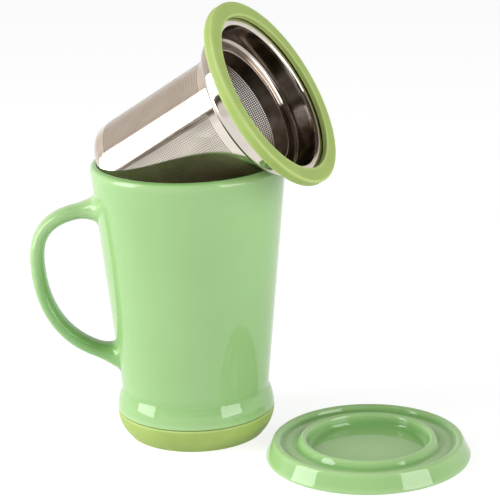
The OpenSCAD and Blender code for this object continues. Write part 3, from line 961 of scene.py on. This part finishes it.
for name, outline in (("sleeveLip", marginOutline()), ("sleeveWeld", weldOutline())):
    inner = outline[:, 0] < sleeveRadius(outline[:, 1]) - infuser["sheet"] / 2
    band = revolved(name, outline, infuser["bendReach"], leaned, inner * 1.0)
    finishPiece(band, "infuser", "sheet_steel", sheetSteel, "infuser_sleeve")
print("sleeve made:", meshColumns, "columns")


# the floor: a flat lattice of holes out to the edge's curve, then the curve and the cup's wall.
# The lattice's stepped edge is joined to a circle, point by point in order of angle
def makeInfuserFloor():
    s, pitch = sizes, holes["pitch"]
    reach = s["lowRadius"] - s["floorEdge"] - holes["floorGap"]
    n = 2 * math.ceil(reach / pitch) + 4
    places, faces = holeCells(2 * n, n, 0, n)
    xy = (places - n / 2) * pitch
    centre = xy[faces[0][:, 0]] + [-pitch / 2, pitch / 2]
    within = np.hypot(centre[:, 0], centre[:, 1]) < reach - holes["floorTrim"] * pitch
    faces = [g[within] for g in faces]
    count, cellCorners = len(places), 2 * n * (n + 1)
    single = openEdges(faces, count)
    border = np.unique(single[(single < cellCorners).all(axis=1)])
    angle = np.arctan2(xy[border, 1], xy[border, 0])
    border, angle = border[np.argsort(angle)], np.sort(angle)
    edge = s["floorEdge"]
    flat = s["lowRadius"] - edge

    def cupLine(inset):
        curve = arc((flat, edge), edge - inset, -90, 0, count=10)
        return np.vstack([curve, [[sleeveRadius(s["cup"]) - inset, s["cup"]]]])

    sides = []
    for inset in (0, s["sheet"]):
        line = cupLine(inset)
        sides.append(leaned(np.vstack([np.column_stack([xy, 0 * xy[:, 0] + inset]), turned(line, angle)])))
    m = len(border)
    ringStart = count + m * np.arange(len(line))
    k, kk = np.arange(m), (np.arange(m) + 1) % m
    strips = [np.column_stack([border[k], border[kk], ringStart[0] + kk, ringStart[0] + k])]
    strips += [np.column_stack([a + k, a + kk, b + kk, b + k]) for a, b in zip(ringStart[:-1], ringStart[1:])]
    # the lattice's own faces look up into the cup, and the first side is the outer one, so they are turned
    faces = [g[:, ::-1] for g in faces]
    piece = thickSheet("infuserFloor", *sides, faces + [np.vstack(strips)])
    finishPiece(piece, "infuser", "sheet_steel", sheetSteel, "infuser_floor")


makeInfuserFloor()
print("floor made")


lid = {
    "turn": -27.4, "gap": 5.1,           # direction from the mug's axis, and room between their edges
    "height": 8.6, "side": 64.0, "edge": 1.0, "crest": 2.0,
    "trough": 6.2, "troughWidth": 6.3, "troughEdge": 1.5,
    "plug": 9.2, "plugCrest": 1.6, "plugSide": 50.0,
    "wellFit": 1.4, "wellFloor": 3.4, "wellEdge": 2.6,
    "hollow": 0.8, "footRing": 4.0,
    "longest": 1.5, "bendReach": 1.5,
}


# outer line: hollow underside, foot ring, slanted side, crest, trough, plug and the well inside it.
# A corner between two slanted sides lies where their straight lines meet
def lidOutline():
    d = lid
    side, plugSide = math.radians(d["side"]), math.radians(d["plugSide"])
    well = infuser["lowRadius"] + d["wellFit"]
    plugCorner = d["plug"] - d["plugCrest"] + d["plugCrest"] / math.tan((math.pi / 2 - plugSide) / 2)
    plugFoot = well + (plugCorner - d["trough"]) / math.tan(plugSide)
    trough = plugFoot + d["troughWidth"]
    apexHeight = d["height"] - d["crest"] + d["crest"] / math.cos(side)
    apex = trough + (apexHeight - d["trough"]) / math.tan(side)
    footCorner = apex + apexHeight / math.tan(side)
    radius = footCorner + d["edge"] - d["edge"] / math.tan(side / 2)
    under = radius - d["edge"] - d["footRing"]
    corners = [
        (0, d["hollow"], 0), (under, d["hollow"], d["hollow"] / 2), (under + d["hollow"], 0, d["hollow"] / 2),
        (footCorner, 0, d["edge"]), (apex, apexHeight, d["crest"]), (trough, d["trough"], d["troughEdge"]),
        (plugFoot, d["trough"], d["plugCrest"]), (well, plugCorner, d["plugCrest"]),
        (well, d["wellFloor"], d["wellEdge"]), (0, d["wellFloor"], 0),
    ]
    return fineAxisOutline(roundedOutline(corners, count=14), d["longest"]), radius


lidLine, lidRadius = lidOutline()
lidAway = mug["bandRadius"] + lid["gap"] + lidRadius
lidCentre = np.array([*(lidAway * direction(lid["turn"])), 0])
lidPiece = revolved("teaLid", lidLine, lid["bendReach"], lambda points: points + lidCentre)
finishPiece(lidPiece, "lid", "glaze", glaze, "lid")
print("lid made, radius", round(lidRadius, 2))
